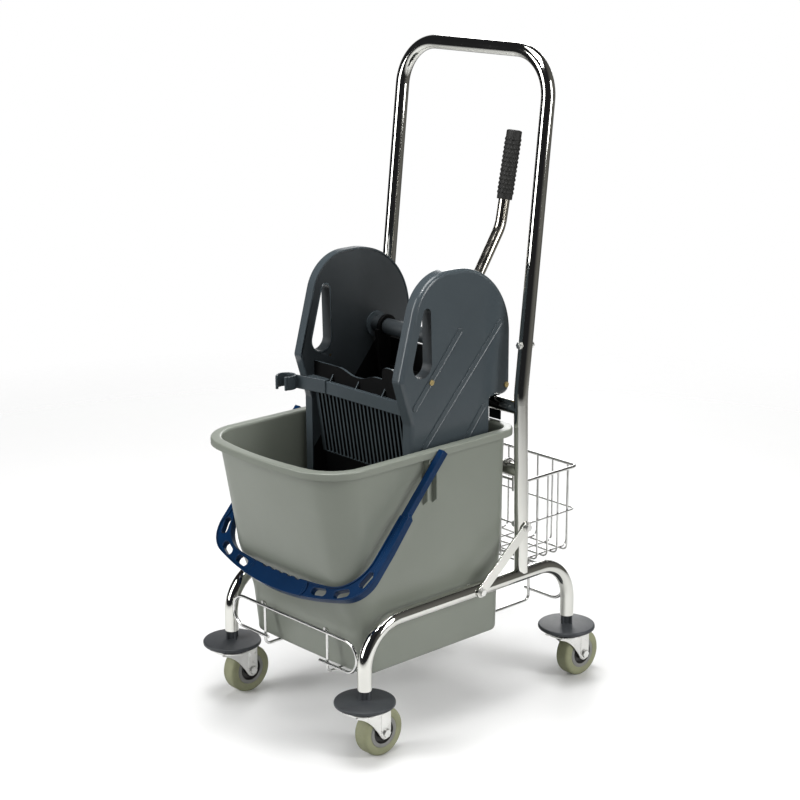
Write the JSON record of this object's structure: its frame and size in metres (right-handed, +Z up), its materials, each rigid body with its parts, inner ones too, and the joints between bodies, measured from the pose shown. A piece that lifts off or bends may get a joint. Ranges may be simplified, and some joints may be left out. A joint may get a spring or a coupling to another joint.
{
  "type": "mop bucket trolley",
  "caption": "Chromed-tube trolley on swivel castors with a plastic mop bucket, a lever wringer, a carrying bail, a mop-handle clip and a wire basket.",
  "frame": {"origin": "on the floor, under the middle of the object's bounding box", "axes": "+Z up; -Y towards the bucket's front, +Y towards the push handle; +X to the left of the person who pushes it"},
  "size_m": [0.4154, 0.5852, 1.0383],
  "materials": {
    "chrome_tube": "polished",
    "chrome_wire": "bright",
    "zinc_steel": "zinc plated",
    "bumper_plastic": "satin",
    "tyre_rubber": "matte",
    "hub_plastic": "satin",
    "bucket_plastic": "satin",
    "bail_plastic": "satin",
    "wringer_plastic": "satin",
    "liner_plastic": "satin",
    "screw_brass": "plain",
    "lever_steel": "nickel",
    "grip_rubber": "knobbed"
  },
  "bodies": {
    "frame": {"brace_bolts": "zinc_steel", "brace_left": "chrome_tube", "brace_right": "chrome_tube", "brace_washers": "zinc_steel", "bumper_disc_front_left": "bumper_plastic", "bumper_disc_front_right": "bumper_plastic", "bumper_disc_rear_left": "bumper_plastic", "bumper_disc_rear_right": "bumper_plastic", "cradle_front_loop": "chrome_wire", "cradle_rear_loop": "chrome_wire", "cradle_runner_left": "chrome_wire", "cradle_runner_right": "chrome_wire", "side_rail_left": "chrome_tube", "side_rail_right": "chrome_tube", "upright_left": "chrome_tube", "upright_right": "chrome_tube", "push_handle": "chrome_tube", "handle_bolts": "zinc_steel", "frame_nuts": "zinc_steel", "upper_crossbar": "chrome_tube", "lower_crossbar": "chrome_tube", "castor_stems": "zinc_steel", "leg_sleeves": "bumper_plastic", "swivel_races": "zinc_steel", "bucket": "bucket_plastic"},
    "castor_front_left": {"fork_front_left": "zinc_steel", "axle_front_left": "zinc_steel"},
    "wheel_front_left": {"hub_front_left": "hub_plastic", "tyre_front_left": "tyre_rubber"},
    "castor_front_right": {"fork_front_right": "zinc_steel", "axle_front_right": "zinc_steel"},
    "wheel_front_right": {"hub_front_right": "hub_plastic", "tyre_front_right": "tyre_rubber"},
    "castor_rear_left": {"fork_rear_left": "zinc_steel", "axle_rear_left": "zinc_steel"},
    "wheel_rear_left": {"hub_rear_left": "hub_plastic", "tyre_rear_left": "tyre_rubber"},
    "castor_rear_right": {"fork_rear_right": "zinc_steel", "axle_rear_right": "zinc_steel"},
    "wheel_rear_right": {"hub_rear_right": "hub_plastic", "tyre_rear_right": "tyre_rubber"},
    "bail": {"bail": "bail_plastic"},
    "wringer": {"cheek_shell_left": "wringer_plastic", "cheek_shell_right": "wringer_plastic", "cheek_liner_left": "liner_plastic", "cheek_liner_right": "liner_plastic", "cheek_screws": "screw_brass", "front_bar": "wringer_plastic", "front_grille": "wringer_plastic", "wringer_floor": "wringer_plastic", "wringer_back": "wringer_plastic", "hanger_straps": "liner_plastic", "axle_bushes": "wringer_plastic", "mop_clip": "wringer_plastic"},
    "lever": {"lever_axle": "wringer_plastic", "lever_tube": "lever_steel", "lever_grip": "grip_rubber", "press_plate": "liner_plastic"},
    "basket": {"wire_basket": "chrome_wire"}
  },
  "joints": [
    {"name": "swivel_front_left", "type": "hinge", "parent": "frame", "child": "castor_front_left", "pos_m": [0.161, -0.21713, 0.0805], "axis": [0, 0, 1], "continuous": true},
    {"name": "roll_front_left", "type": "hinge", "parent": "castor_front_left", "child": "wheel_front_left", "pos_m": [0.161, -0.19012, 0.03875], "axis": [1, 0, 0], "continuous": true},
    {"name": "swivel_front_right", "type": "hinge", "parent": "frame", "child": "castor_front_right", "pos_m": [-0.161, -0.21713, 0.0805], "axis": [0, 0, 1], "continuous": true},
    {"name": "roll_front_right", "type": "hinge", "parent": "castor_front_right", "child": "wheel_front_right", "pos_m": [-0.161, -0.19012, 0.03875], "axis": [1, 0, 0], "continuous": true},
    {"name": "swivel_rear_left", "type": "hinge", "parent": "frame", "child": "castor_rear_left", "pos_m": [0.161, 0.22687, 0.0805], "axis": [0, 0, 1], "continuous": true},
    {"name": "roll_rear_left", "type": "hinge", "parent": "castor_rear_left", "child": "wheel_rear_left", "pos_m": [0.161, 0.25388, 0.03875], "axis": [1, 0, 0], "continuous": true},
    {"name": "swivel_rear_right", "type": "hinge", "parent": "frame", "child": "castor_rear_right", "pos_m": [-0.161, 0.22687, 0.0805], "axis": [0, 0, 1], "continuous": true},
    {"name": "roll_rear_right", "type": "hinge", "parent": "castor_rear_right", "child": "wheel_rear_right", "pos_m": [-0.161, 0.25388, 0.03875], "axis": [1, 0, 0], "continuous": true},
    {"name": "bail_swing", "type": "hinge", "parent": "frame", "child": "bail", "pos_m": [0, -0.07712, 0.437], "axis": [-1, 0, 0], "range_deg": [0, 118]},
    {"name": "wringer_lift", "type": "slide", "parent": "frame", "child": "wringer", "axis": [0, 0, 1], "range_m": [0, 0.115]},
    {"name": "lever_pull", "type": "hinge", "parent": "wringer", "child": "lever", "pos_m": [0, 0.04888, 0.585], "axis": [-1, 0, 0], "range_deg": [0, 48], "stiffness_Nm_per_rad": 0.6, "springref_deg": -40.11},
    {"name": "basket_lift", "type": "slide", "parent": "frame", "child": "basket", "axis": [0, 0, 1], "range_m": [0, 0.04]}
  ]
}
